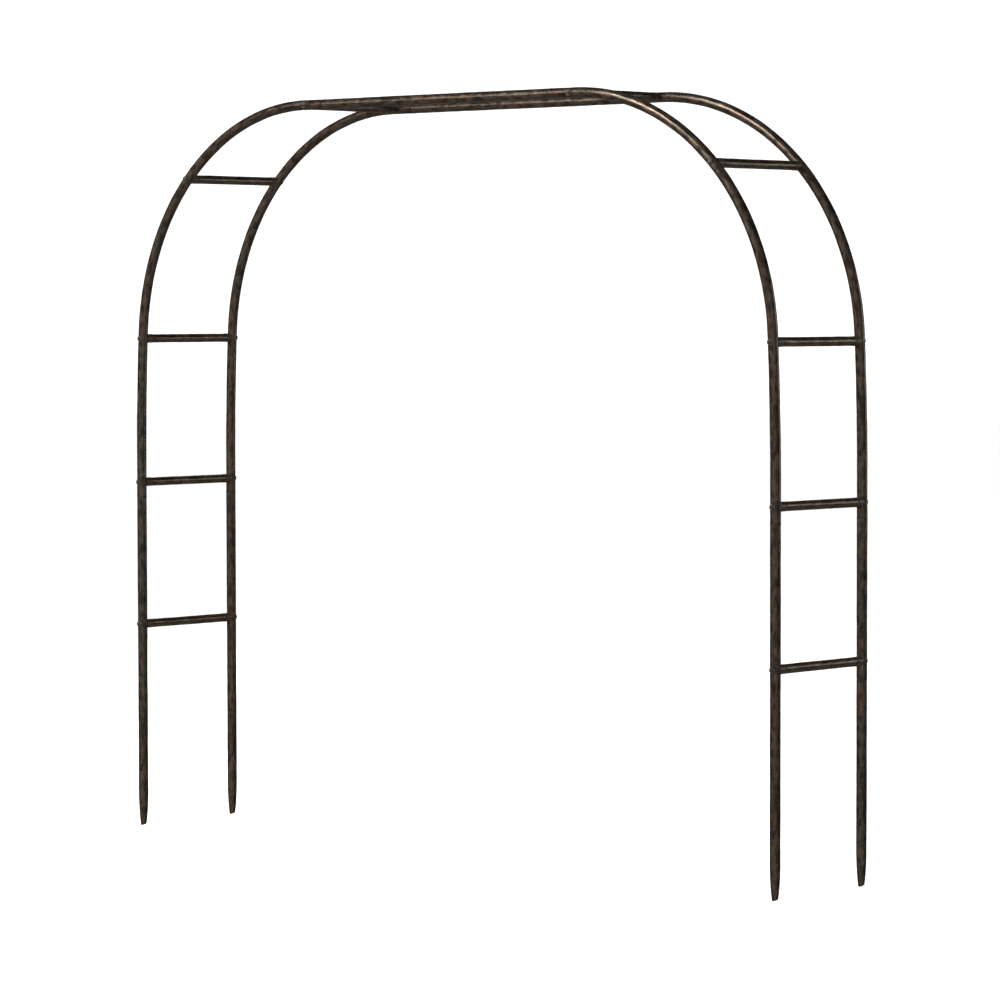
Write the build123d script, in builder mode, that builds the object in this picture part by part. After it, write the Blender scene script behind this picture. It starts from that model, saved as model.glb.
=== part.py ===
# Garden trellis arch: two hoops of round steel tube, front and rear, joined by five rungs on
# each side. Each hoop is two legs, two bent shoulders and a top bar, joined by swaged spigots.
# Every rung end has a plug with a captive nut, and a bolt through the hoop tube draws it tight.
# Millimetres, +Z up, origin on the ground midway between the four legs, front hoop at -Y.
from build123d import *
import os
from math import asin, cos, radians, sin

# ---- driving dimensions ----
arch_width = 2636.0        # left legs to right legs, centre to centre
arch_depth = 400.0         # front hoop to rear hoop, centre to centre
tube_r = 31.8 / 2          # hoop tube, 1 1/4 in
tube_wall = 1.2
rung_r = 28.6 / 2          # rung tube, 1 1/8 in
rung_wall = 1.0

# hoop outline, from the ground to the middle of the top
spring_z = 1180.0          # end of the straight upright
lean_radius = 8550.0       # long gentle curve that leans the upright inwards
lean_angle = 2.865         # degrees turned by that curve
bend_radius = 746.0        # bend of the shoulder

# rungs, counted from the ground
rung_1_z = 659.0
rung_2_z = 1121.0
rung_3_z = 1587.0
rung_4_angle = 45.0        # place on the bend, degrees above its centre
rung_5_x = 550.0           # place on the straight top, from the middle

# leg spike, swaged to a blunt end
spike_length = 110.0
spike_tip_r = 9.5
spike_floor = 3.0
spike_edge = 2.0

# tube joints: the lower or inner tube is swaged down and slides into its neighbour
leg_joint_z = 1075.0
bar_joint_x = 471.0
spigot_length = 90.0
spigot_gap = 0.1
neck_length = 3.0
joint_edge = 0.6

# rung end plug
collar_length = 20.0       # seen between hoop tube and rung tube
plug_length = 24.0         # inside the rung tube
plug_gap = 0.1
saddle_gap = 0.1
collar_edge = 0.5

# M6 fixings
bolt_r = 5.9 / 2
bolt_hole_r = 6.6 / 2
bolt_reach = 62.5          # tip of the bolt, from the hoop tube's axis
head_r = 5.8
head_height = 3.6
head_edge = 2.4
socket_flats = 4.0
socket_depth = 2.0
washer_r = 9.0
washer_wall = 1.6
washer_edge = 0.5
nut_flats = 10.0
nut_height = 5.0
nut_bore_r = 6.0 / 2
nut_gap = 0.1

# ---- worked-out dimensions ----
half_width = arch_width / 2
half_depth = arch_depth / 2
tube_bore_r = tube_r - tube_wall
spigot_r = tube_bore_r - spigot_gap
spigot_bore_r = spigot_r - tube_wall
lean = radians(lean_angle)
bend_centre_x = half_width - lean_radius * (1 - cos(lean)) - bend_radius * cos(lean)
bend_centre_z = spring_z + (lean_radius - bend_radius) * sin(lean)
top_z = bend_centre_z + bend_radius
collar_end = tube_r + collar_length
plug_end = collar_end + plug_length
head_seat = tube_r + washer_wall

sides = {"left": -1, "right": 1}
hoops = {"front": -1, "rear": 1}
rung_numbers = (1, 2, 3, 4, 5)


def rung_place(number):
    """Distance from the middle, height and inward lean of the hoop tube at a rung, on the right."""
    rung_3_lean = asin((rung_3_z - spring_z) / lean_radius)
    bend_turn = radians(rung_4_angle)
    return {
        1: (half_width, rung_1_z, 0.0),
        2: (half_width, rung_2_z, 0.0),
        3: (half_width - lean_radius * (1 - cos(rung_3_lean)), rung_3_z, rung_3_lean),
        4: (
            bend_centre_x + bend_radius * cos(bend_turn),
            bend_centre_z + bend_radius * sin(bend_turn),
            bend_turn,
        ),
        5: (rung_5_x, top_z, radians(90)),
    }[number]


def rung_plane(side, hoop, number):
    """Plane on the hoop tube's axis at a rung: its normal points in along the rung, X up the tube."""
    x, z, tilt = rung_place(number)
    return Plane(
        origin=(side * x, hoop * half_depth, z),
        x_dir=(-side * sin(tilt), 0, cos(tilt)),
        z_dir=(0, -hoop, 0),
    )


def across(plane):
    """The plane square to the hoop tube at the same point."""
    return Plane(origin=plane.origin, x_dir=plane.z_dir, z_dir=plane.x_dir)


def save(piece, label):
    piece.part.label = label
    export_step(piece.part, f"parts/{label}.step")


def make_leg(side, hoop, label):
    """Straight tube, turned to a blunt ogive spike below and swaged to a spigot above."""
    foot = (side * half_width, hoop * half_depth, 0)
    with BuildPart() as leg:
        with BuildSketch(Plane(origin=foot, x_dir=(1, 0, 0), z_dir=(0, -1, 0))):
            with BuildLine():
                Polyline((0, spike_floor), (0, 0), (spike_tip_r - spike_edge, 0), (spike_tip_r, spike_edge))
                TangentArc((tube_r, spike_length), (spike_tip_r, spike_edge), tangent=(0, -1))
                Polyline(
                    (tube_r, spike_length),
                    (tube_r, leg_joint_z - joint_edge),
                    (tube_r - joint_edge, leg_joint_z),
                    (spigot_r, leg_joint_z),
                    (spigot_r, leg_joint_z + spigot_length),
                    (spigot_bore_r, leg_joint_z + spigot_length),
                    (spigot_bore_r, leg_joint_z - neck_length),
                    (tube_bore_r, leg_joint_z - neck_length),
                    (tube_bore_r, spike_length),
                )
                TangentArc(
                    (tube_bore_r, spike_length),
                    (spike_tip_r - tube_wall, spike_floor),
                    tangent=(0, -1),
                )
                Line((spike_tip_r - tube_wall, spike_floor), (0, spike_floor))
            make_face()
        revolve(axis=Axis(foot, (0, 0, 1)))
        for number in (1, 2):
            with Locations(rung_plane(side, hoop, number).offset(tube_r + 1)):
                Hole(bolt_hole_r, depth=2 * (tube_r + 1))
    save(leg, label)


def make_shoulder(side, hoop, label):
    """Bent tube: straight socket, gentle lean, quarter bend and straight socket at the top."""
    with BuildPart() as shoulder:
        with BuildLine(Plane(origin=(0, hoop * half_depth, 0), x_dir=(1, 0, 0), z_dir=(0, -1, 0))):
            upright = Line((side * half_width, leg_joint_z), (side * half_width, spring_z))
            leaning = JernArc(
                start=upright @ 1, tangent=upright % 1, radius=lean_radius, arc_size=side * lean_angle
            )
            bend = JernArc(
                start=leaning @ 1,
                tangent=leaning % 1,
                radius=bend_radius,
                arc_size=side * (90 - lean_angle),
            )
            Line(bend @ 1, (side * bar_joint_x, top_z))
        with BuildSketch(Plane.XY.offset(leg_joint_z)):
            with Locations((side * half_width, hoop * half_depth)):
                Circle(tube_r)
                Circle(tube_bore_r, mode=Mode.SUBTRACT)
        sweep()
        for number in (2, 3, 4, 5):
            with Locations(rung_plane(side, hoop, number).offset(tube_r + 1)):
                Hole(bolt_hole_r, depth=2 * (tube_r + 1))
    save(shoulder, label)


def make_top_bar(hoop, label):
    """Straight tube with a swaged spigot at each end."""
    middle = (0, hoop * half_depth, top_z)
    with BuildPart() as bar:
        with BuildSketch(Plane(origin=middle, x_dir=(1, 0, 0), z_dir=(0, -1, 0))):
            with BuildLine():
                Polyline(
                    (0, tube_r),
                    (bar_joint_x - joint_edge, tube_r),
                    (bar_joint_x, tube_r - joint_edge),
                    (bar_joint_x, spigot_r),
                    (bar_joint_x + spigot_length, spigot_r),
                    (bar_joint_x + spigot_length, spigot_bore_r),
                    (bar_joint_x - neck_length, spigot_bore_r),
                    (bar_joint_x - neck_length, tube_bore_r),
                    (0, tube_bore_r),
                    close=True,
                )
            make_face()
            mirror(about=Plane.YZ)
        revolve(axis=Axis(middle, (1, 0, 0)))
        for side in sides.values():
            with Locations(rung_plane(side, hoop, 5).offset(tube_r + 1)):
                Hole(bolt_hole_r, depth=2 * (tube_r + 1))
    save(bar, label)


def make_rung(side, number, label):
    """Straight tube between the collars of its two end plugs."""
    with BuildPart() as rung:
        with BuildSketch(rung_plane(side, hoops["front"], number).offset(collar_end)):
            Circle(rung_r)
            Circle(rung_r - rung_wall, mode=Mode.SUBTRACT)
        extrude(amount=arch_depth - 2 * collar_end)
    save(rung, label)


def make_end_plugs(side, hoop, label):
    """Five plugs: fish-mouth collar, spigot for the rung tube, bolt hole and nut pocket."""
    with BuildPart() as plugs:
        for number in rung_numbers:
            plane = rung_plane(side, hoop, number)
            with BuildSketch(plane):
                Circle(rung_r)
            extrude(amount=collar_end)
            rim = edges(Select.LAST).sort_by(Axis(plane.origin, plane.z_dir))[-1]
            chamfer(rim, length=collar_edge)
            with BuildSketch(plane.offset(collar_end)):
                Circle(rung_r - rung_wall - plug_gap)
            extrude(amount=plug_length)
            with BuildSketch(across(plane)):
                Circle(tube_r + saddle_gap)
            extrude(amount=tube_r, both=True, mode=Mode.SUBTRACT)
            with BuildSketch(plane):
                Circle(bolt_hole_r)
            extrude(amount=plug_end, mode=Mode.SUBTRACT)
            with BuildSketch(plane.offset(plug_end - nut_height - nut_gap)):
                RegularPolygon(nut_flats / 2 + nut_gap, 6, major_radius=False)
            extrude(amount=nut_height + nut_gap, mode=Mode.SUBTRACT)
    save(plugs, label)


def make_bolts(side, hoop, label):
    """Five button-head bolts with a hexagon socket."""
    with BuildPart() as bolts:
        for number in rung_numbers:
            plane = rung_plane(side, hoop, number)
            with BuildSketch(plane.offset(-head_seat)):
                Circle(bolt_r)
            extrude(amount=head_seat + bolt_reach)
            with BuildSketch(plane.offset(-head_seat)):
                Circle(head_r)
            extrude(amount=-head_height)
            crown = edges(Select.LAST).sort_by(Axis(plane.origin, plane.z_dir))[0]
            fillet(crown, radius=head_edge)
            with BuildSketch(plane.offset(-head_seat - head_height)):
                RegularPolygon(socket_flats / 2, 6, major_radius=False)
            extrude(amount=socket_depth, mode=Mode.SUBTRACT)
    save(bolts, label)


def make_saddle_washers(side, hoop, label):
    """Five washers, flat under the bolt head and hollowed to sit on the hoop tube."""
    with BuildPart() as washers:
        for number in rung_numbers:
            plane = rung_plane(side, hoop, number)
            with BuildSketch(plane.offset(-head_seat)):
                Circle(washer_r)
            extrude(amount=tube_r / 2)
            rim = edges(Select.LAST).sort_by(Axis(plane.origin, plane.z_dir))[0]
            chamfer(rim, length=washer_edge)
            with BuildSketch(across(plane)):
                Circle(tube_r + saddle_gap)
            extrude(amount=tube_r, both=True, mode=Mode.SUBTRACT)
            with BuildSketch(plane.offset(-head_seat)):
                Circle(bolt_hole_r)
            extrude(amount=tube_r / 2, mode=Mode.SUBTRACT)
    save(washers, label)


def make_nuts(side, hoop, label):
    """Five hexagon nuts, one in the pocket of each end plug."""
    with BuildPart() as nuts:
        for number in rung_numbers:
            plane = rung_plane(side, hoop, number)
            with BuildSketch(plane.offset(plug_end - nut_height)):
                RegularPolygon(nut_flats / 2, 6, major_radius=False)
                Circle(nut_bore_r, mode=Mode.SUBTRACT)
            extrude(amount=nut_height)
    save(nuts, label)


os.makedirs("parts", exist_ok=True)
for hoop_name, hoop in hoops.items():
    make_top_bar(hoop, f"{hoop_name}_top_bar")
    for side_name, side in sides.items():
        corner = f"{hoop_name}_{side_name}"
        make_leg(side, hoop, f"{corner}_leg")
        make_shoulder(side, hoop, f"{corner}_shoulder")
        make_end_plugs(side, hoop, f"{corner}_end_plugs")
        make_bolts(side, hoop, f"{corner}_bolts")
        make_saddle_washers(side, hoop, f"{corner}_saddle_washers")
        make_nuts(side, hoop, f"{corner}_nuts")
for side_name, side in sides.items():
    for number in rung_numbers:
        make_rung(side, number, f"{side_name}_rung_{number}")
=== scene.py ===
from math import asin, cos, pi, radians, sin, sqrt

import bpy
from mathutils import Matrix, Vector


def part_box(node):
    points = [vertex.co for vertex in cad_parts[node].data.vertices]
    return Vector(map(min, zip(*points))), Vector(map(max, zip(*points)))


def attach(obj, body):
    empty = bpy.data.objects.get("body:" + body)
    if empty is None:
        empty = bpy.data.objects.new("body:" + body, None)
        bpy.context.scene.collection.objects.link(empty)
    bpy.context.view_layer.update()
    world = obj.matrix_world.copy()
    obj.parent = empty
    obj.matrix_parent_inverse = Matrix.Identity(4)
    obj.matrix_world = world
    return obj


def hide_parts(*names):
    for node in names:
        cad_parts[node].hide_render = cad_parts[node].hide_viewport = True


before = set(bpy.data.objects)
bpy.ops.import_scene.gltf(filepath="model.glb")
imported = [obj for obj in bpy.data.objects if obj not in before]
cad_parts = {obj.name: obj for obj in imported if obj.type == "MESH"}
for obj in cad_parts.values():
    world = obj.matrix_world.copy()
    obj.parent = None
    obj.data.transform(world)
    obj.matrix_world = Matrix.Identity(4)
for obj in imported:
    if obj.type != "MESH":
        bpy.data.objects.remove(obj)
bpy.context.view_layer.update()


# ---- Legs ------------------------------------------------------------------------------------
# Four straight lengths of round steel tube, rolled with long shallow dimples. The foot of each is
# pinched to a blunt spike, the top is swaged to a spigot that holds the shoulder, and the whole
# leg is powder coated in antique bronze, rubbed lighter on the high spots, with shade painted into the
# foot's creases.

scene = bpy.context.scene
sides = {"left": -1, "right": 1}
hoops = {"front": -1, "rear": 1}

leg_low, leg_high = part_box("rear_right_leg")
bar_low, bar_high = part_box("rear_top_bar")
shoulder_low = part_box("rear_right_shoulder")[0]
tube_r = (bar_high.z - bar_low.z) / 2
half_width = (leg_low.x + leg_high.x) / 2
half_depth = (leg_low.y + leg_high.y) / 2
leg_joint_z = shoulder_low.z
leg_top_z = leg_high.z

tube_wall = 0.0012
fit_gap = 0.0001
spigot_r = tube_r - tube_wall - fit_gap
spigot_bore_r = spigot_r - tube_wall
neck_length = 0.003
joint_edge = 0.0006
joint_margin = 0.008           # the dimples fade out this far from a joint

spike_length = 0.110
spike_tip_r = 0.0095
spike_edge = 0.002
spike_floor = 0.003
pinch_height = 0.034           # the creases of the pinched foot
pinch_depth = 0.20
bevel_height = 0.005           # the foot is sheared off a little out of square

ring_gap = 0.003               # between rings of faces on the skin
bore_gap = 0.02                # and inside, where nothing shows
tube_sides = 40
dimple_depth = 0.00045
dimple_length = 0.042
wave_depth = 0.0004
wave_length = 0.16
smooth_limit = radians(34)

# bronze_dark is the dark of the mottled patches, and also the painted shade in the foot's creases
bronze_dark = (0.016, 0.011, 0.008, 1)
bronze_brown = (0.062, 0.042, 0.029, 1)
bronze_rubbed = (0.17, 0.135, 0.105, 1)
bronze_red = (0.050, 0.024, 0.017, 1)
bronze_green = (0.030, 0.032, 0.020, 1)
bronze_sheen = (0.62, 0.55, 0.48, 1)
bronze_metallic = 0.6
bronze_roughness = 0.24
peel_height = 0.00003
scratch_height = 0.000015
hammer_height = 0.0006


def put(tree, kind, sockets=None, **settings):
    """Adds a node: settings are its properties, sockets its inputs, each a value or a link."""
    made = tree.nodes.new(kind)
    for key, value in settings.items():
        setattr(made, key, value)
    for key, value in (sockets or {}).items():
        if isinstance(value, bpy.types.NodeSocket):
            tree.links.new(value, made.inputs[key])
        else:
            made.inputs[key].default_value = value
    return made


def maths(tree, operation, *terms):
    """A sum on numbers; each term is a number or a link."""
    return put(tree, "ShaderNodeMath", dict(enumerate(terms)), operation=operation).outputs[0]


def vectors(tree, operation, *terms):
    """A sum on vectors; each term is a vector or a link."""
    made = put(tree, "ShaderNodeVectorMath", dict(enumerate(terms)), operation=operation)
    return made.outputs["Value" if operation in ("LENGTH", "DOT_PRODUCT") else "Vector"]


def scaled(tree, vector, factor):
    """A vector times a number."""
    return put(tree, "ShaderNodeVectorMath", {0: vector, "Scale": factor}, operation="SCALE").outputs[0]


def ramp(tree, factor, low, high):
    """Spreads the stretch from low to high of a value over 0 to 1, smoothly."""
    sockets = {"Value": factor, "From Min": low, "From Max": high}
    return put(tree, "ShaderNodeMapRange", sockets, interpolation_type="SMOOTHSTEP").outputs[0]


def new_tree(name, inputs):
    """A Geometry Nodes tree with named inputs, its input node and its output node."""
    tree = bpy.data.node_groups.new(name, "GeometryNodeTree")
    tree.interface.new_socket(name="Outline", in_out="INPUT", socket_type="NodeSocketGeometry")
    for label, kind in inputs.items():
        tree.interface.new_socket(name=label, in_out="INPUT", socket_type="NodeSocket" + kind)
    tree.interface.new_socket(name="Piece", in_out="OUTPUT", socket_type="NodeSocketGeometry")
    return tree, put(tree, "NodeGroupInput").outputs, put(tree, "NodeGroupOutput").inputs["Piece"]


def stored(tree, name, kind="FLOAT"):
    """The value that a point carries under this name."""
    return put(tree, "GeometryNodeInputNamedAttribute", {"Name": name}, data_type=kind).outputs[0]


def store(tree, geometry, name, value, kind="FLOAT"):
    """The same geometry, whose points carry the value under this name."""
    sockets = {"Geometry": geometry, "Name": name, "Value": value}
    made = put(tree, "GeometryNodeStoreNamedAttribute", sockets, data_type=kind, domain="POINT")
    return made.outputs[0]


def turned(tree, outline, side_count):
    """Turns an outline (X the radius, Z the length) into closed skin round the Z axis, with rings of
    faces no longer than each station's ring gap. Every point carries its angle as "turn", its place
    on the outline as "station", and the station's own values."""
    curve = put(tree, "GeometryNodeMeshToCurve", {"Mesh": outline}).outputs[0]
    here = put(tree, "GeometryNodeInputPosition").outputs[0]
    index = put(tree, "GeometryNodeInputIndex").outputs[0]
    after = maths(tree, "ADD", index, 1)
    there = put(tree, "GeometryNodeFieldAtIndex", {"Value": here, "Index": after}, data_type="FLOAT_VECTOR")
    run = vectors(tree, "LENGTH", vectors(tree, "SUBTRACT", there.outputs[0], here))
    cuts = maths(tree, "FLOOR", maths(tree, "DIVIDE", run, stored(tree, "ring_gap")))
    curve = put(tree, "GeometryNodeSubdivideCurve", {"Curve": curve, "Cuts": cuts}).outputs[0]
    curve = store(tree, curve, "station", here, "FLOAT_VECTOR")
    circle = put(tree, "GeometryNodeCurvePrimitiveCircle", {"Resolution": side_count}).outputs[0]
    step = maths(tree, "DIVIDE", 2 * pi, side_count)
    circle = store(tree, circle, "turn", maths(tree, "MULTIPLY", index, step))
    skin = put(tree, "GeometryNodeCurveToMesh", {"Curve": circle, "Profile Curve": curve}).outputs[0]
    return put(tree, "GeometryNodeFlipFaces", {"Mesh": skin}).outputs[0]


def round_place(tree, radius, angle, length):
    """The place of a point at this radius, angle and length."""
    x = maths(tree, "MULTIPLY", radius, maths(tree, "COSINE", angle))
    y = maths(tree, "MULTIPLY", radius, maths(tree, "SINE", angle))
    return put(tree, "ShaderNodeCombineXYZ", {"X": x, "Y": y, "Z": length}).outputs[0]


def finished(tree, skin, material, output):
    """Closes the seams and poles of the skin or of each copy, keeps only real edges sharp, then
    makes the copies real and gives them their material."""
    skin = put(tree, "GeometryNodeMergeByDistance", {"Geometry": skin, "Distance": 1e-6}).outputs[0]
    angle = put(tree, "GeometryNodeInputMeshEdgeAngle").outputs["Unsigned Angle"]
    sharp = maths(tree, "GREATER_THAN", angle, smooth_limit)
    sockets = {"Geometry": skin, "Selection": sharp, "Shade Smooth": False}
    skin = put(tree, "GeometryNodeSetShadeSmooth", sockets, domain="EDGE").outputs[0]
    skin = put(tree, "GeometryNodeRealizeInstances", {"Geometry": skin}).outputs[0]
    skin = put(tree, "GeometryNodeSetMaterial", {"Geometry": skin, "Material": material}).outputs[0]
    tree.links.new(skin, output)


def make_tube_tree():
    """A dimpled tube: turned from its outline, pinched at the foot, dimpled, then bent to its path."""
    tree, given, output = new_tree(
        "dimpled_tube",
        {
            "Path": "Object",
            "Across": "Vector",
            "Sides": "Int",
            "Pinch Depth": "Float",
            "Pinch Height": "Float",
            "Bevel Height": "Float",
            "Tip Radius": "Float",
            "Dimple Depth": "Float",
            "Dimple Length": "Float",
            "Wave Depth": "Float",
            "Wave Length": "Float",
            "Seed": "Float",
            "Finish": "Material",
        },
    )
    skin = turned(tree, given["Outline"], given["Sides"])
    station = put(tree, "ShaderNodeSeparateXYZ", {0: stored(tree, "station", "FLOAT_VECTOR")}).outputs
    radius, length, angle = station["X"], station["Z"], stored(tree, "turn")

    # the pinched foot: four creases that fade out upwards; the same pattern marks where shade is painted
    # into the creases
    near_foot = maths(tree, "SUBTRACT", 1, maths(tree, "DIVIDE", length, given["Pinch Height"]))
    near_foot = maths(tree, "MAXIMUM", near_foot, 0)
    crease = maths(tree, "COSINE", maths(tree, "MULTIPLY", angle, 4))
    crease = maths(tree, "POWER", maths(tree, "MULTIPLY_ADD", crease, 0.5, 0.5), 2)
    pinch = maths(tree, "MULTIPLY", maths(tree, "MULTIPLY", crease, near_foot), given["Pinch Depth"])
    pinched = maths(tree, "MULTIPLY", radius, maths(tree, "SUBTRACT", 1, pinch))

    # dimples and longer waves, always inwards, read where the point stands on the straight tube
    straight = round_place(tree, radius, angle, length)
    hollows, depths = [], []
    for kind, width_share in (("Dimple", 0.45), ("Wave", 0.5)):
        hollow_length = given[kind + " Length"]
        short_way = maths(tree, "DIVIDE", 1, maths(tree, "MULTIPLY", hollow_length, width_share))
        along = maths(tree, "DIVIDE", 1, hollow_length)
        stretch = put(tree, "ShaderNodeCombineXYZ", {"X": short_way, "Y": short_way, "Z": along}).outputs[0]
        place = vectors(tree, "MULTIPLY", straight, stretch)
        sockets = {"Vector": place, "W": given["Seed"], "Scale": 1.0, "Detail": 1.0}
        noise = put(tree, "ShaderNodeTexNoise", sockets, noise_dimensions="4D").outputs[0]
        hollows.append(ramp(tree, noise, 0.3, 0.7))
        depths.append(maths(tree, "MULTIPLY", hollows[-1], given[kind + " Depth"]))
    sunk = maths(tree, "MULTIPLY", maths(tree, "ADD", *depths), stored(tree, "dimpled"))
    final_radius = maths(tree, "SUBTRACT", pinched, sunk)

    # the foot is sheared off a little out of square
    lopsided = round_place(tree, final_radius, angle, length)
    rightward = vectors(tree, "DOT_PRODUCT", lopsided, (sqrt(0.5), sqrt(0.5), 0))
    rise = maths(tree, "MULTIPLY_ADD", maths(tree, "DIVIDE", rightward, given["Tip Radius"]), 0.5, 0.5)
    rise = maths(tree, "MULTIPLY", maths(tree, "MULTIPLY", rise, near_foot), given["Bevel Height"])
    length_on_path = maths(tree, "ADD", length, rise)
    made = round_place(tree, final_radius, angle, length_on_path)

    skin = store(tree, skin, "tube_place", straight, "FLOAT_VECTOR")
    skin = store(tree, skin, "hollow", hollows[0])
    # the creases near the foot, kept as the mask for the shade that the coat paints into them
    skin = store(tree, skin, "crease", maths(tree, "MULTIPLY", crease, near_foot))

    # along the path: its own direction, the direction across both hoops, and the third one
    path = put(tree, "GeometryNodeObjectInfo", {"Object": given["Path"]}).outputs["Geometry"]
    on_path = put(tree, "ShaderNodeSeparateXYZ", {0: made}).outputs
    sample = put(tree, "GeometryNodeSampleCurve", {"Curves": path, "Length": on_path["Z"]}, mode="LENGTH")
    third = vectors(tree, "CROSS_PRODUCT", given["Across"], sample.outputs["Tangent"])
    third = vectors(tree, "NORMALIZE", third)
    off_third = scaled(tree, third, on_path["X"])
    off_across = scaled(tree, given["Across"], on_path["Y"])
    place = vectors(tree, "ADD", sample.outputs["Position"], vectors(tree, "ADD", off_third, off_across))
    skin = put(tree, "GeometryNodeSetPosition", {"Geometry": skin, "Position": place}).outputs[0]
    finished(tree, skin, given["Finish"], output)
    return tree


def outline_mesh(name, stations, shares):
    """A chain of stations, each (radius, length, its shares in order), as a mesh of edges."""
    mesh = bpy.data.meshes.new(name)
    places = [(station[0], 0, station[1]) for station in stations]
    mesh.from_pydata(places, [(n, n + 1) for n in range(len(stations) - 1)], [])
    for column, share in enumerate(shares, start=2):
        values = mesh.attributes.new(share, "FLOAT", "POINT")
        values.data.foreach_set("value", [float(station[column]) for station in stations])
    return mesh


# what the trees store on the way and the finished piece has no use for
spare_marks = ("station", "turn", "ring_gap", "dimpled", "saddle", "six_sided", "thread", "facing")


def build(name, mesh, tree, settings):
    """Runs a tree on a mesh and keeps the result as a plain mesh object at the origin."""
    piece = bpy.data.objects.new(name, mesh)
    scene.collection.objects.link(piece)
    modifier = piece.modifiers.new("build", "NODES")
    modifier.node_group = tree
    sockets = {item.name: item.identifier for item in tree.interface.items_tree if item.in_out == "INPUT"}
    for label, value in settings.items():
        modifier[sockets[label]] = value
    bpy.context.view_layer.update()
    evaluated = piece.evaluated_get(bpy.context.evaluated_depsgraph_get())
    made = bpy.data.meshes.new_from_object(evaluated)
    piece.modifiers.clear()
    piece.data = made
    made.name = name
    if made.materials[0] is None:                # a slot that the bare outline leaves behind
        made.materials.pop(index=0)
    for spare in spare_marks:
        if spare in made.attributes:
            made.attributes.remove(made.attributes[spare])
    return piece


def path_curve(name, points):
    """A guide line through the points."""
    curve = bpy.data.curves.new(name, "CURVE")
    curve.dimensions = "3D"
    line = curve.splines.new("POLY")
    line.points.add(len(points) - 1)
    for point, place in zip(line.points, points):
        point.co = (*place, 1)
    guide = bpy.data.objects.new(name, curve)
    scene.collection.objects.link(guide)
    return guide


def mixed(tree, factor, first, second):
    """A mix of two colours, each a colour or a link."""
    made = put(tree, "ShaderNodeMix", {0: factor}, data_type="RGBA")
    for socket, colour in ((made.inputs[6], first), (made.inputs[7], second)):
        if isinstance(colour, bpy.types.NodeSocket):
            tree.links.new(colour, socket)
        else:
            socket.default_value = colour
    return made.outputs[2]


def grain(tree, place, scale, detail=3.0):
    """Noise at a size given in repeats per metre: one number, or three where it is stretched."""
    spread = scale if isinstance(scale, tuple) else (scale, scale, scale)
    where = vectors(tree, "MULTIPLY", place, spread)
    return put(tree, "ShaderNodeTexNoise", {"Vector": where, "Scale": 1.0, "Detail": detail}).outputs[0]


def new_material(name):
    """A material with only its surface shader, and that shader's tree."""
    material = bpy.data.materials.new(name)
    material.use_nodes = True
    tree = material.node_tree
    tree.nodes.clear()
    shader = put(tree, "ShaderNodeBsdfPrincipled")
    put(tree, "ShaderNodeOutputMaterial", {"Surface": shader.outputs[0]})
    return material, tree, shader


def make_bronze(name, shift):
    """Antique bronze powder coat. It follows the tube: mottled patches, lengthwise streaks, faint
    reddish and greenish tints, high spots rubbed lighter, a fine orange peel, and painted shade in the
    creases of the pinched foot."""
    material, tree, shader = new_material(name)
    place = put(tree, "ShaderNodeAttribute", attribute_name="tube_place").outputs["Vector"]
    place = vectors(tree, "ADD", place, shift)
    hollow = put(tree, "ShaderNodeAttribute", attribute_name="hollow").outputs["Fac"]
    crease = put(tree, "ShaderNodeAttribute", attribute_name="crease").outputs["Fac"]

    patches = ramp(tree, grain(tree, place, (75, 75, 32)), 0.38, 0.62)
    streaks = ramp(tree, grain(tree, place, (420, 420, 40), 2.0), 0.42, 0.64)
    tint = grain(tree, place, (40, 40, 9), 1.0)
    colour = mixed(tree, patches, bronze_dark, bronze_brown)
    colour = mixed(tree, maths(tree, "MULTIPLY", ramp(tree, tint, 0.54, 0.72), 0.6), colour, bronze_red)
    colour = mixed(tree, maths(tree, "MULTIPLY", ramp(tree, tint, 0.46, 0.30), 0.6), colour, bronze_green)
    rubbed = maths(tree, "MULTIPLY", streaks, maths(tree, "SUBTRACT", 1, hollow))
    rubbed = maths(tree, "MULTIPLY", rubbed, 0.4)
    colour = mixed(tree, rubbed, colour, bronze_rubbed)
    # painted shade: the creases of the pinched foot are darkened towards bronze_dark
    colour = mixed(tree, maths(tree, "MULTIPLY", crease, 0.8), colour, bronze_dark)
    tree.links.new(colour, shader.inputs["Base Color"])

    worn = maths(tree, "MULTIPLY_ADD", rubbed, -0.1, bronze_roughness)
    tree.links.new(maths(tree, "MULTIPLY_ADD", patches, 0.08, worn), shader.inputs["Roughness"])
    shader.inputs["Metallic"].default_value = bronze_metallic
    shader.inputs["Specular IOR Level"].default_value = 0.5
    shader.inputs["Specular Tint"].default_value = bronze_sheen

    peel = maths(tree, "MULTIPLY", grain(tree, place, 600, 2.0), peel_height)
    scratches = maths(tree, "MULTIPLY", grain(tree, place, (900, 900, 60), 2.0), scratch_height)
    hammered = maths(tree, "MULTIPLY", grain(tree, place, (60, 60, 30), 2.0), hammer_height)
    height = maths(tree, "ADD", hammered, maths(tree, "ADD", peel, scratches))
    bump = put(tree, "ShaderNodeBump", {"Height": height, "Strength": 1.0, "Distance": 1.0})
    tree.links.new(bump.outputs[0], shader.inputs["Normal"])
    return material


hoop_bronze = make_bronze("hoop_bronze", (0, 0, 0))
tube_tree = make_tube_tree()
tube_shares = ("ring_gap", "dimpled")
hoop_tube_settings = {
    "Across": (0, 1, 0),
    "Sides": tube_sides,
    "Pinch Depth": 0.0,
    "Pinch Height": pinch_height,
    "Bevel Height": 0.0,
    "Tip Radius": spike_tip_r,
    "Dimple Depth": dimple_depth,
    "Dimple Length": dimple_length,
    "Wave Depth": wave_depth,
    "Wave Length": wave_length,
    "Finish": hoop_bronze,
}


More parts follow.
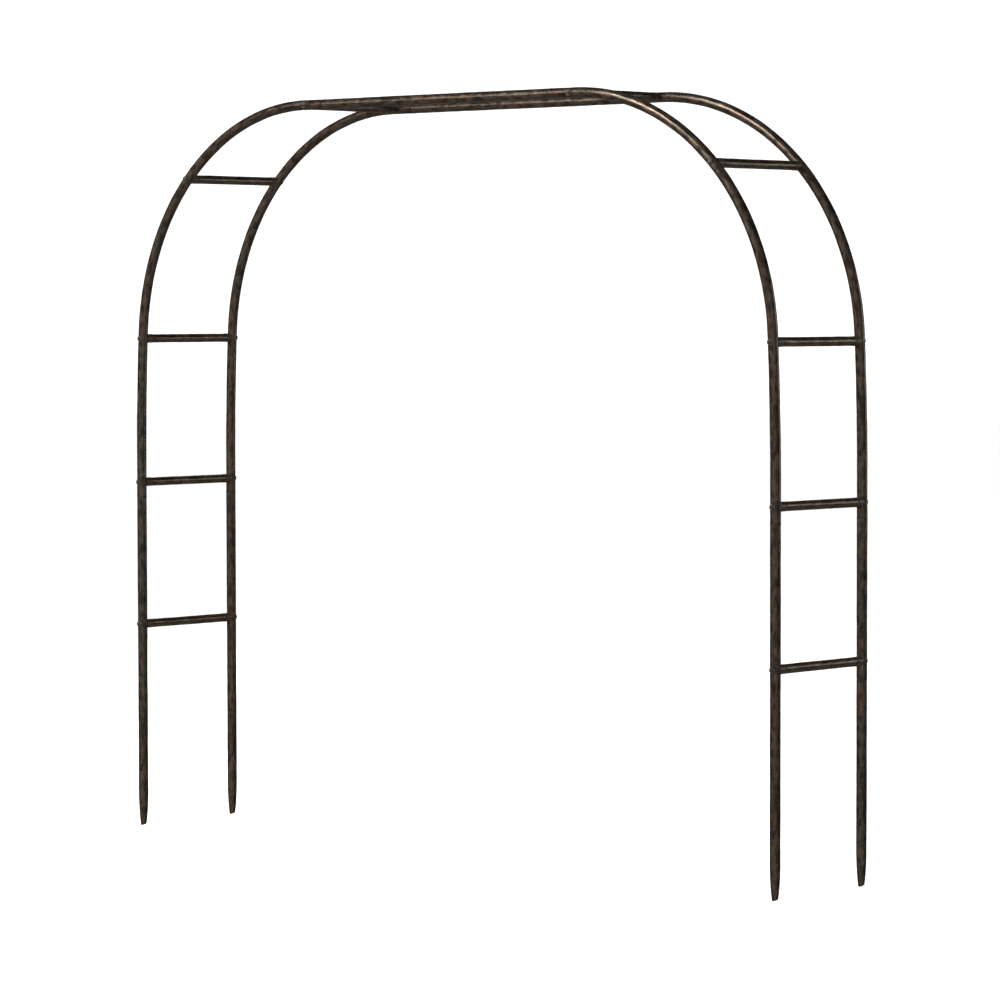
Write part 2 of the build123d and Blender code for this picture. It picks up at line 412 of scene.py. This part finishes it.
def spike_outline(shrink):
    """Radius and height up the spike: an arc that leaves the tube smoothly, shrunk by a wall."""
    drop = tube_r - spike_tip_r
    rise = spike_length - spike_edge
    arc_r = (drop**2 + rise**2) / (2 * drop)
    steps = round(rise / ring_gap)
    heights = [spike_edge + rise * n / steps for n in range(steps + 1)]
    return [(tube_r - shrink - arc_r + sqrt(arc_r**2 - (spike_length - z) ** 2), z) for z in heights]


def leg_outline():
    """From the middle of the foot, up the skin, over the spigot and down the bore."""
    skin = [(0, 0, ring_gap, 0), (spike_tip_r - spike_edge, 0, ring_gap, 0)]
    skin += [(radius, z, ring_gap, z / spike_length) for radius, z in spike_outline(0)]
    skin += [
        (tube_r, leg_joint_z - joint_margin, ring_gap, 1),
        (tube_r, leg_joint_z - joint_edge, ring_gap, 0),
        (tube_r - joint_edge, leg_joint_z, ring_gap, 0),
        (spigot_r, leg_joint_z, bore_gap, 0),
        (spigot_r, leg_top_z, bore_gap, 0),
        (spigot_bore_r, leg_top_z, bore_gap, 0),
        (spigot_bore_r, leg_joint_z - neck_length, bore_gap, 0),
        (tube_r - tube_wall, leg_joint_z - neck_length, bore_gap, 0),
    ]
    downwards = spike_outline(tube_wall)[::-3]             # every third point is enough inside
    bore = [(radius, z, bore_gap, 0) for radius, z in downwards if z > spike_floor]
    floor_r = spike_tip_r - tube_wall - spike_edge
    return skin + bore + [(floor_r, spike_floor, bore_gap, 0), (0, spike_floor, bore_gap, 0)]


seed = 0                       # each tube gets the next one, and so its own dimples
for hoop_name, hoop in hoops.items():
    for side_name, side in sides.items():
        seed += 1
        foot = Vector((side * half_width, hoop * half_depth, 0))
        guide = path_curve("leg_guide", [foot, foot + Vector((0, 0, leg_top_z))])
        outline = outline_mesh("leg_outline", leg_outline(), tube_shares)
        name = f"{hoop_name}_{side_name}_leg"
        own = {
            "Path": guide,
            "Seed": float(seed),
            "Pinch Depth": pinch_depth,
            "Bevel Height": bevel_height,
        }
        leg = build(name + "_tube", outline, tube_tree, hoop_tube_settings | own)
        bpy.data.objects.remove(guide)
        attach(leg, "root")
        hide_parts(name)


# ---- Shoulders -------------------------------------------------------------------------------
# Four bent lengths of the same dimpled tube. Each slips over its leg's spigot, leans in a little,
# turns through a quarter bend and ends level, over the spigot of the top bar.

lean_radius = 8.55
lean_angle = radians(2.865)
bend_radius = 0.746
path_step = 0.008

top_z = (bar_low.z + bar_high.z) / 2
bar_joint_x = shoulder_low.x
bend_centre_x = half_width - lean_radius * (1 - cos(lean_angle)) - bend_radius * cos(lean_angle)
bend_centre_z = top_z - bend_radius
spring_z = bend_centre_z - (lean_radius - bend_radius) * sin(lean_angle)


def shoulder_path(side, hoop):
    """Points up the shoulder: the straight socket, the gentle lean, the bend and the level end."""
    lean_steps = round(lean_radius * lean_angle / path_step)
    bend_turn = pi / 2 - lean_angle
    bend_steps = round(bend_radius * bend_turn / path_step)
    points = [(half_width, leg_joint_z), (half_width, spring_z)]
    for n in range(1, lean_steps + 1):
        turn = lean_angle * n / lean_steps
        points.append((half_width - lean_radius * (1 - cos(turn)), spring_z + lean_radius * sin(turn)))
    for n in range(1, bend_steps + 1):
        turn = lean_angle + bend_turn * n / bend_steps
        points.append((bend_centre_x + bend_radius * cos(turn), bend_centre_z + bend_radius * sin(turn)))
    points.append((bar_joint_x, top_z))
    return [Vector((side * x, hoop * half_depth, z)) for x, z in points]


def socket_tube_outline(length):
    """A tube open at both ends: up the skin and back down the bore, closed on itself."""
    bore_r = tube_r - tube_wall
    start = (bore_r, 0, ring_gap, 0)
    return [
        start,
        (tube_r, 0, ring_gap, 0),
        (tube_r, joint_margin, ring_gap, 1),
        (tube_r, length - joint_margin, ring_gap, 1),
        (tube_r, length, ring_gap, 0),
        (bore_r, length, bore_gap, 0),
        start,
    ]


for hoop_name, hoop in hoops.items():
    for side_name, side in sides.items():
        seed += 1
        points = shoulder_path(side, hoop)
        length = sum((after - before).length for before, after in zip(points, points[1:]))
        guide = path_curve("shoulder_guide", points)
        outline = outline_mesh("shoulder_outline", socket_tube_outline(length), tube_shares)
        name = f"{hoop_name}_{side_name}_shoulder"
        own = {"Path": guide, "Seed": float(seed)}
        shoulder = build(name + "_tube", outline, tube_tree, hoop_tube_settings | own)
        bpy.data.objects.remove(guide)
        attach(shoulder, "root")
        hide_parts(name)


# ---- Top bars --------------------------------------------------------------------------------
# Two straight lengths of the same tube, level across the top. Both ends are swaged to spigots
# that slide into the shoulders, where the last rung's bolts pin them.

bar_spigot_x = bar_high.x


def top_bar_outline():
    """One half from the bore over the spigot's end to the skin, then the same the other way round,
    closed along the bore. The length is counted from the first spigot's end."""
    half = [
        (tube_r - tube_wall, neck_length - bar_joint_x, bore_gap, 0),
        (spigot_bore_r, neck_length - bar_joint_x, bore_gap, 0),
        (spigot_bore_r, -bar_spigot_x, bore_gap, 0),
        (spigot_r, -bar_spigot_x, bore_gap, 0),
        (spigot_r, -bar_joint_x, ring_gap, 0),
        (tube_r - joint_edge, -bar_joint_x, ring_gap, 0),
        (tube_r, -bar_joint_x + joint_edge, ring_gap, 0),
        (tube_r, -bar_joint_x + joint_margin, ring_gap, 1),
    ]
    other = [(radius, -x, gap, dimpled) for radius, x, gap, dimpled in half[::-1]]
    stations = half + other + half[:1]
    return [(radius, x + bar_spigot_x, gap, dimpled) for radius, x, gap, dimpled in stations]


for hoop_name, hoop in hoops.items():
    seed += 1
    ends = [Vector((x, hoop * half_depth, top_z)) for x in (-bar_spigot_x, bar_spigot_x)]
    guide = path_curve("bar_guide", ends)
    outline = outline_mesh("bar_outline", top_bar_outline(), tube_shares)
    name = f"{hoop_name}_top_bar"
    own = {"Path": guide, "Seed": float(seed)}
    bar = build(name + "_tube", outline, tube_tree, hoop_tube_settings | own)
    bpy.data.objects.remove(guide)
    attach(bar, "root")
    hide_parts(name)


# ---- End plugs -------------------------------------------------------------------------------
# Twenty moulded plugs in bronze-brown nylon, one at each rung end. The collar has a fish mouth that
# sits on the hoop tube, the spigot fills the rung tube, and a pocket at its end holds the nut.

rung_low, rung_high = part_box("right_rung_1")
rung_r = (rung_high.x - rung_low.x) / 2
rung_wall = 0.001
rung_numbers = (1, 2, 3, 4, 5)

plug_spigot_length = 0.024
saddle_r = tube_r + fit_gap
collar_end = half_depth + rung_low.y             # all counted from the hoop tube's middle line
plug_end = collar_end + plug_spigot_length
plug_r = rung_r - rung_wall - fit_gap
bolt_hole_r = 0.0033
nut_pocket_r = 0.0051
nut_pocket_depth = 0.0051
collar_edge = 0.0006
groove_depth = 0.0004
groove_width = 0.0012
groove_place = 0.0035                            # back from the rung end of the collar
fixing_sides = 48
fixing_gap = 0.002
flat_turn = radians(60)                          # each flat of a hexagon

nylon_dark = (0.017, 0.011, 0.008, 1)
nylon_brown = (0.036, 0.024, 0.017, 1)
nylon_worn = (0.072, 0.053, 0.040, 1)
nylon_sheen = (1.0, 0.82, 0.68, 1)


def make_fixing_tree():
    """A turned fixing: its outline turned round, seated on the hoop tube where a station has its
    saddle share, made six-sided or threaded in the same way, then copied to each of the places."""
    tree, given, output = new_tree(
        "turned_fixing",
        {
            "Places": "Object",
            "Sides": "Int",
            "Saddle Radius": "Float",
            "Thread Depth": "Float",
            "Thread Pitch": "Float",
            "Finish": "Material",
        },
    )
    skin = turned(tree, given["Outline"], given["Sides"])
    station = put(tree, "ShaderNodeSeparateXYZ", {0: stored(tree, "station", "FLOAT_VECTOR")}).outputs
    angle = stored(tree, "turn")

    # six sides: the radius grows from the middle of each flat to its corners
    from_flat = maths(tree, "FLOORED_MODULO", angle, flat_turn)
    from_flat = maths(tree, "SUBTRACT", from_flat, flat_turn / 2)
    corner = maths(tree, "SUBTRACT", maths(tree, "DIVIDE", 1, maths(tree, "COSINE", from_flat)), 1)
    grow = maths(tree, "MULTIPLY_ADD", corner, stored(tree, "six_sided"), 1)
    radius = maths(tree, "MULTIPLY", station["X"], grow)

    # the thread: one turn of the groove for each pitch of length
    winding = maths(tree, "DIVIDE", station["Z"], given["Thread Pitch"])
    winding = maths(tree, "ADD", winding, maths(tree, "DIVIDE", angle, 2 * pi))
    groove = maths(tree, "MULTIPLY", maths(tree, "PINGPONG", winding, 0.5), given["Thread Depth"])
    groove = maths(tree, "MULTIPLY", groove, maths(tree, "MULTIPLY", stored(tree, "thread"), 2))
    radius = maths(tree, "SUBTRACT", radius, groove)

    # the saddle: the height of the hoop tube's skin under this point, from its crown
    lateral = maths(tree, "MULTIPLY", radius, maths(tree, "SINE", angle))
    under = maths(tree, "MULTIPLY", given["Saddle Radius"], given["Saddle Radius"])
    under = maths(tree, "SQRT", maths(tree, "SUBTRACT", under, maths(tree, "MULTIPLY", lateral, lateral)))
    drop = maths(tree, "SUBTRACT", under, given["Saddle Radius"])
    height = maths(tree, "MULTIPLY_ADD", drop, stored(tree, "saddle"), station["Z"])
    place = round_place(tree, radius, angle, height)
    skin = put(tree, "GeometryNodeSetPosition", {"Geometry": skin, "Position": place}).outputs[0]

    places = put(tree, "GeometryNodeObjectInfo", {"Object": given["Places"]}).outputs["Geometry"]
    facing = stored(tree, "facing", "FLOAT_VECTOR")
    sockets = {"Points": places, "Instance": skin, "Rotation": facing}
    skin = put(tree, "GeometryNodeInstanceOnPoints", sockets).outputs[0]
    finished(tree, skin, given["Finish"], output)
    return tree


def rung_places(side_name, hoop, direction):
    """The five rung ends of a corner on the hoop tube's middle line, X up the tube, Z along the
    rung: inwards for direction 1, outwards for -1."""
    side = sides[side_name]
    mesh = bpy.data.meshes.new("rung_places")
    places, facings = [], []
    for number in rung_numbers:
        low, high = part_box(f"{side_name}_rung_{number}")
        middle = (low + high) / 2
        places.append((middle.x, hoop * half_depth, middle.z))
        on_top_bar = number == rung_numbers[-1]
        up_the_tube = Vector((1, 0, 0)) if on_top_bar else tube_direction(middle, side)
        along = Vector((0, -hoop * direction, 0))
        axes = Matrix((up_the_tube, along.cross(up_the_tube), along)).transposed()
        facings += axes.to_euler()
    mesh.from_pydata(places, [], [])
    mesh.attributes.new("facing", "FLOAT_VECTOR", "POINT").data.foreach_set("vector", facings)
    holder = bpy.data.objects.new("rung_places", mesh)
    scene.collection.objects.link(holder)
    return holder


def tube_direction(place, side):
    """The way up the hoop tube at a place on its middle line."""
    across, above = side * place.x, place.z
    if above <= spring_z:
        return Vector((0, 0, 1))
    lean = asin(min(1, (above - spring_z) / lean_radius))
    if lean > lean_angle:
        reach = Vector((across - bend_centre_x, 0, above - bend_centre_z)).normalized()
        return Vector((-side * reach.z, 0, reach.x))
    return Vector((-side * sin(lean), 0, cos(lean)))


def set_fixings(kind, outline, direction, settings):
    """Builds the five fixings of one kind at each of the four corners."""
    for hoop_name, hoop in hoops.items():
        for side_name in sides:
            places = rung_places(side_name, hoop, direction)
            mesh = outline_mesh(kind + "_outline", outline, fixing_shares)
            name = f"{hoop_name}_{side_name}_{kind}"
            piece = build(name + "_set", mesh, fixing_tree, fixing_settings | settings | {"Places": places})
            bpy.data.objects.remove(places)
            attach(piece, "root")
            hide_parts(name)


def make_moulded(name, dark, middle, worn_colour):
    """Moulded nylon: slightly clouded colour, satin skin, edges polished lighter by handling."""
    material, tree, shader = new_material(name)
    place = put(tree, "ShaderNodeTexCoord").outputs["Object"]
    clouds = ramp(tree, grain(tree, place, 160), 0.35, 0.65)
    specks = ramp(tree, grain(tree, place, 1400, 2.0), 0.40, 0.70)
    worn = put(tree, "ShaderNodeAttribute", attribute_name="worn").outputs["Fac"]
    worn = maths(tree, "MULTIPLY", worn, specks)
    colour = mixed(tree, clouds, dark, middle)
    colour = mixed(tree, maths(tree, "MULTIPLY", worn, 0.6), colour, worn_colour)
    tree.links.new(colour, shader.inputs["Base Color"])
    rough = maths(tree, "MULTIPLY_ADD", specks, 0.12, 0.42)
    tree.links.new(maths(tree, "MULTIPLY_ADD", worn, -0.12, rough), shader.inputs["Roughness"])
    shader.inputs["Specular IOR Level"].default_value = 0.35
    shader.inputs["Specular Tint"].default_value = nylon_sheen
    sockets = {"Height": grain(tree, place, 2200, 2.0), "Strength": 0.35, "Distance": 0.0001}
    tree.links.new(put(tree, "ShaderNodeBump", sockets).outputs[0], shader.inputs["Normal"])
    return material


fixing_tree = make_fixing_tree()
fixing_shares = ("ring_gap", "saddle", "six_sided", "thread", "worn")
fixing_settings = {
    "Sides": fixing_sides,
    "Saddle Radius": saddle_r,
    "Thread Depth": 0.0,
    "Thread Pitch": 0.001,           # without a depth, any pitch leaves the fixing plain
}


def station(radius, height, gap=fixing_gap, saddle=0, six_sided=0, thread=0, worn=0):
    """One station of a fixing's outline, with its shares in order."""
    return (radius, height, gap, saddle, six_sided, thread, worn)


groove = collar_end - groove_place
plug_outline = [
    station(bolt_hole_r, saddle_r, saddle=1),
    station(rung_r - collar_edge, saddle_r, saddle=1, worn=1),
    station(rung_r, saddle_r + collar_edge, saddle=1, worn=0.6),
    station(rung_r, groove - groove_width, worn=0.2),
    station(rung_r - groove_depth, groove - groove_width / 2),
    station(rung_r - groove_depth, groove + groove_width / 2),
    station(rung_r, groove + groove_width, worn=0.4),
    station(rung_r, collar_end - collar_edge, worn=0.6),
    station(rung_r - collar_edge, collar_end, worn=1),
    station(plug_r, collar_end),
    station(plug_r, plug_end - collar_edge),
    station(plug_r - collar_edge, plug_end),
    station(nut_pocket_r, plug_end, six_sided=1),
    station(nut_pocket_r, plug_end - nut_pocket_depth, six_sided=1),
    station(bolt_hole_r, plug_end - nut_pocket_depth),
    station(bolt_hole_r, saddle_r, saddle=1),
]
plug_nylon = make_moulded("plug_nylon", nylon_dark, nylon_brown, nylon_worn)
set_fixings("end_plugs", plug_outline, 1, {"Finish": plug_nylon})


# ---- Rungs -----------------------------------------------------------------------------------
# Ten straight lengths of a slightly thinner tube, dimpled and coated like the hoops. Each slides
# over the plugs at its two ends and is held between their collars.

rung_edge = 0.0005
rung_margin = 0.004

rung_shift = (3, 5, 7)                           # sets its patches apart from the hoops'
rung_bronze = make_bronze("rung_bronze", rung_shift)


def rung_outline(length):
    """A short tube open at both ends, its edges taken off."""
    bore_r = rung_r - rung_wall
    start = (bore_r, 0, ring_gap, 0)
    return [
        start,
        (rung_r - rung_edge, 0, ring_gap, 0),
        (rung_r, rung_edge, ring_gap, 0),
        (rung_r, rung_margin, ring_gap, 1),
        (rung_r, length - rung_margin, ring_gap, 1),
        (rung_r, length - rung_edge, ring_gap, 0),
        (rung_r - rung_edge, length, ring_gap, 0),
        (bore_r, length, bore_gap, 0),
        start,
    ]


for side_name, side in sides.items():
    for number in rung_numbers:
        seed += 1
        name = f"{side_name}_rung_{number}"
        low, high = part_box(name)
        middle = (low + high) / 2
        ends = [Vector((middle.x, y, middle.z)) for y in (low.y, high.y)]
        guide = path_curve("rung_guide", ends)
        outline = outline_mesh("rung_outline", rung_outline(high.y - low.y), tube_shares)
        own = {
            "Path": guide,
            "Seed": float(seed),
            "Across": (0, 0, 1),
            "Finish": rung_bronze,
        }
        rung = build(name + "_tube", outline, tube_tree, hoop_tube_settings | own)
        bpy.data.objects.remove(guide)
        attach(rung, "root")
        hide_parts(name)


# ---- Saddle washers --------------------------------------------------------------------------
# Twenty pressed steel washers, flat under the bolt head and hollowed to sit on the hoop tube,
# lacquered dark bronze and chipped to bare metal round the rim.

washer_r = 0.009
washer_edge = 0.0005
washer_height = 0.0016
head_seat = tube_r + washer_height

lacquer_dark = (0.024, 0.017, 0.013, 1)
lacquer_brown = (0.055, 0.041, 0.031, 1)
bare_steel = (0.36, 0.33, 0.30, 1)


def make_metal(name, dark, middle, worn_colour, metallic, roughness, worn_share):
    """Plated or lacquered steel: clouded film, fine brushing, worn through at the edges."""
    material, tree, shader = new_material(name)
    place = put(tree, "ShaderNodeTexCoord").outputs["Object"]
    clouds = ramp(tree, grain(tree, place, 240), 0.35, 0.65)
    chips = ramp(tree, grain(tree, place, 900, 4.0), 0.47, 0.56)
    worn = put(tree, "ShaderNodeAttribute", attribute_name="worn").outputs["Fac"]
    worn = maths(tree, "MULTIPLY", maths(tree, "MULTIPLY", worn, chips), worn_share)
    colour = mixed(tree, worn, mixed(tree, clouds, dark, middle), worn_colour)
    tree.links.new(colour, shader.inputs["Base Color"])
    rough = maths(tree, "MULTIPLY_ADD", clouds, 0.12, roughness)
    tree.links.new(maths(tree, "MULTIPLY_ADD", worn, -0.10, rough), shader.inputs["Roughness"])
    shader.inputs["Metallic"].default_value = metallic
    brushed = grain(tree, place, (2600, 2600, 700), 2.0)
    sockets = {"Height": brushed, "Strength": 0.3, "Distance": 0.0001}
    tree.links.new(put(tree, "ShaderNodeBump", sockets).outputs[0], shader.inputs["Normal"])
    return material


washer_outline = [
    station(bolt_hole_r, saddle_r, saddle=1),
    station(washer_r - washer_edge, saddle_r, saddle=1),
    station(washer_r, saddle_r + washer_edge, saddle=1, worn=1),
    station(washer_r, head_seat - washer_edge, gap=washer_edge, worn=0.7),
    station(washer_r - washer_edge, head_seat, worn=1),
    station(washer_r - 4 * washer_edge, head_seat, worn=0.1),
    station(bolt_hole_r, head_seat, worn=0.3),
    station(bolt_hole_r, saddle_r, saddle=1),
]
washer_finish = {"metallic": 0.6, "roughness": 0.36, "worn_share": 0.55}
washer_lacquer = make_metal("washer_lacquer", lacquer_dark, lacquer_brown, bare_steel, **washer_finish)
set_fixings("saddle_washers", washer_outline, -1, {"Finish": washer_lacquer})


# ---- Bolts -----------------------------------------------------------------------------------
# Twenty button-head bolts with a hexagon socket. Each passes through washer, hoop tube and plug;
# the head is lacquered like the washer and its rim and socket are rubbed bright by the key.

bolt_r = 0.00295
bolt_reach = 0.0625            # from the hoop tube's middle line to the tip
head_r = 0.0058
head_height = 0.0036
crown_r = 0.0024
socket_r = 0.002
socket_depth = 0.002
socket_edge = 0.0002
thread_length = 0.022
thread_pitch = 0.001
thread_depth = 0.0003
thread_gap = 0.0002
bolt_sides = 36

head_top = head_seat + head_height
crown_centre = (head_r - crown_r, head_top - crown_r)
crown_steps = 6
bolt_outline = [
    station(0, -bolt_reach),
    station(bolt_r - 2 * thread_depth, -bolt_reach),
    station(bolt_r, 2 * thread_depth - bolt_reach, gap=thread_gap, thread=1),
    station(bolt_r, thread_length - bolt_reach - thread_pitch, gap=thread_gap, thread=1),
    station(bolt_r, thread_length - bolt_reach),
    station(bolt_r, head_seat),
    station(head_r - socket_edge, head_seat),
    station(head_r, head_seat + socket_edge, worn=1),
]
for n in range(crown_steps + 1):
    turn = pi / 2 * n / crown_steps
    radius = crown_centre[0] + crown_r * cos(turn)
    height = crown_centre[1] + crown_r * sin(turn)
    bolt_outline.append(station(radius, height, worn=0.5 - 0.3 * cos(turn)))
bolt_outline += [
    station(socket_r + 4 * socket_edge, head_top, worn=0.3),
    station(socket_r + socket_edge, head_top, six_sided=1, worn=1),
    station(socket_r, head_top - socket_edge, six_sided=1, worn=0.6),
    station(socket_r, head_top - socket_depth, six_sided=1),
    station(0, head_top - socket_depth),
]
bolt_finish = {"metallic": 0.7, "roughness": 0.30, "worn_share": 0.45}
bolt_lacquer = make_metal("bolt_lacquer", lacquer_dark, lacquer_brown, bare_steel, **bolt_finish)
bolt_settings = {
    "Sides": bolt_sides,
    "Thread Depth": thread_depth,
    "Thread Pitch": thread_pitch,
    "Finish": bolt_lacquer,
}
set_fixings("bolts", bolt_outline, -1, bolt_settings)


# ---- Nuts ------------------------------------------------------------------------------------
# Twenty zinc-plated hexagon nuts, each pressed into the pocket at the end of its plug, inside the
# rung tube, where the bolt draws the rung tight to the hoop.

nut_r = 0.005
nut_height = 0.005
nut_bore_r = 0.003
nut_edge = 0.0005

zinc_dull = (0.42, 0.42, 0.40, 1)
zinc_light = (0.62, 0.62, 0.60, 1)

nut_start = plug_end - nut_height
nut_outline = [
    station(nut_bore_r, nut_start + nut_edge),
    station(nut_bore_r + nut_edge, nut_start, worn=1),
    station(nut_r, nut_start),
    station(nut_r, nut_start + nut_edge, six_sided=1, worn=1),
    station(nut_r, plug_end - nut_edge, six_sided=1, worn=1),
    station(nut_r, plug_end),
    station(nut_bore_r + nut_edge, plug_end, worn=1),
    station(nut_bore_r, plug_end - nut_edge),
    station(nut_bore_r, nut_start + nut_edge),
]
nut_finish = {"metallic": 0.9, "roughness": 0.34, "worn_share": 0.5}
nut_zinc = make_metal("nut_zinc", zinc_dull, zinc_light, bare_steel, **nut_finish)
set_fixings("nuts", nut_outline, 1, {"Finish": nut_zinc})


# ---- Studio ----------------------------------------------------------------------------------
# A plain pale floor in white surroundings. A tall soft window and a brighter lamp high in it stand in
# front on the left, two weak lamps stand behind, and the coat mirrors a dim room, lightest in front.

floor_reach = 40
floor_drop = 0.0005                              # just clear of the feet
floor_white = (0.9, 0.9, 0.9, 1)
floor_roughness = 0.9
floor_glow = 0.5

seen_white = 1.25                                # what the camera sees round the arch
room_grey = 0.6                                  # what falls on it from all round
mirrored_dark = 0.03                             # and what its coat mirrors, from the back
mirrored_light = 0.8                             # to the front
floor_mirrored = 0.4

floor_mesh = bpy.data.meshes.new("floor")
corner_signs = ((-1, -1), (1, -1), (1, 1), (-1, 1))
floor_corners = [(x * floor_reach, y * floor_reach, -floor_drop) for x, y in corner_signs]
floor_mesh.from_pydata(floor_corners, [], [(0, 1, 2, 3)])
floor = bpy.data.objects.new("floor", floor_mesh)
scene.collection.objects.link(floor)
floor.visible_glossy = False
floor.visible_diffuse = False
floor.visible_shadow = False
floor_paint, _, floor_shader = new_material("floor_paint")
floor_shader.inputs["Base Color"].default_value = floor_white
floor_shader.inputs["Roughness"].default_value = floor_roughness
floor_shader.inputs["Emission Color"].default_value = (1, 1, 1, 1)
floor_shader.inputs["Emission Strength"].default_value = floor_glow
floor_mesh.materials.append(floor_paint)


def grey(level):
    """A neutral colour of this brightness."""
    return (level, level, level, 1)


world = bpy.data.worlds.new("studio")
scene.world = world
world.use_nodes = True
sky = world.node_tree
sky.nodes.clear()
direction = put(sky, "ShaderNodeTexCoord").outputs["Generated"]
frontward = vectors(sky, "DOT_PRODUCT", direction, (0.42, -0.86, -0.3))
downward = vectors(sky, "DOT_PRODUCT", direction, (0, 0, -1))
off_the_floor = maths(sky, "MULTIPLY", ramp(sky, downward, 0.05, 0.5), floor_mirrored)
lightness = maths(sky, "MAXIMUM", ramp(sky, frontward, -0.1, 1.0), off_the_floor)
mirrored = mixed(sky, lightness, grey(mirrored_dark), grey(mirrored_light))
ray = put(sky, "ShaderNodeLightPath").outputs
around = mixed(sky, ray["Is Glossy Ray"], grey(room_grey), mirrored)
shown = mixed(sky, ray["Is Camera Ray"], around, grey(seen_white))
background = put(sky, "ShaderNodeBackground", {"Color": shown, "Strength": 1.0})
put(sky, "ShaderNodeOutputWorld", {"Surface": background.outputs[0]})

# each lamp is a soft panel turned to the aim: its low end, its high end, its width and its power
aim = Vector((0, 0, 1.6))
lamps = {
    "window_light": ((-5.7, -6.1, 2.9), (-1.0, -5.5, 8.2), 1.8, 330),
    "key_light": ((-3.5, -5.8, 5.5), (-1.6, -5.7, 7.6), 1.8, 560),
    "rear_light": ((5.3, 5.6, 0.8), (5.3, 5.6, 3.8), 3.6, 110),
    "back_light": ((-6.9, 4.0, 1.0), (-6.9, 4.0, 4.0), 3.0, 90),
}
for name, (low_end, high_end, width, power) in lamps.items():
    low_end, high_end = Vector(low_end), Vector(high_end)
    lamp = bpy.data.lights.new(name, "AREA")
    lamp.shape = "RECTANGLE"
    lamp.size = width
    lamp.size_y = (high_end - low_end).length
    lamp.energy = power
    middle = (low_end + high_end) / 2
    upward = (high_end - low_end).normalized()
    sideways = upward.cross(middle - aim).normalized()
    axes = Matrix((sideways, upward, sideways.cross(upward))).transposed()
    holder = bpy.data.objects.new(name, lamp)
    scene.collection.objects.link(holder)
    holder.matrix_world = Matrix.Translation(middle) @ axes.to_4x4()

# the camera stands well off the front right corner, at eye height, and looks a little down
camera_place = (8.7609, -9.4717, 1.6908)
camera_dip = 0.0462
camera_roll = 0.0018
camera_turn = 0.7419
camera_lens = 151.24
camera = bpy.data.objects.new("camera", bpy.data.cameras.new("camera"))
scene.collection.objects.link(camera)
camera.data.sensor_width = 36
camera.data.lens = camera_lens
camera.location = camera_place
camera.rotation_euler = (pi / 2 - camera_dip, camera_roll, camera_turn)
scene.camera = camera
scene.view_settings.view_transform = "Standard"
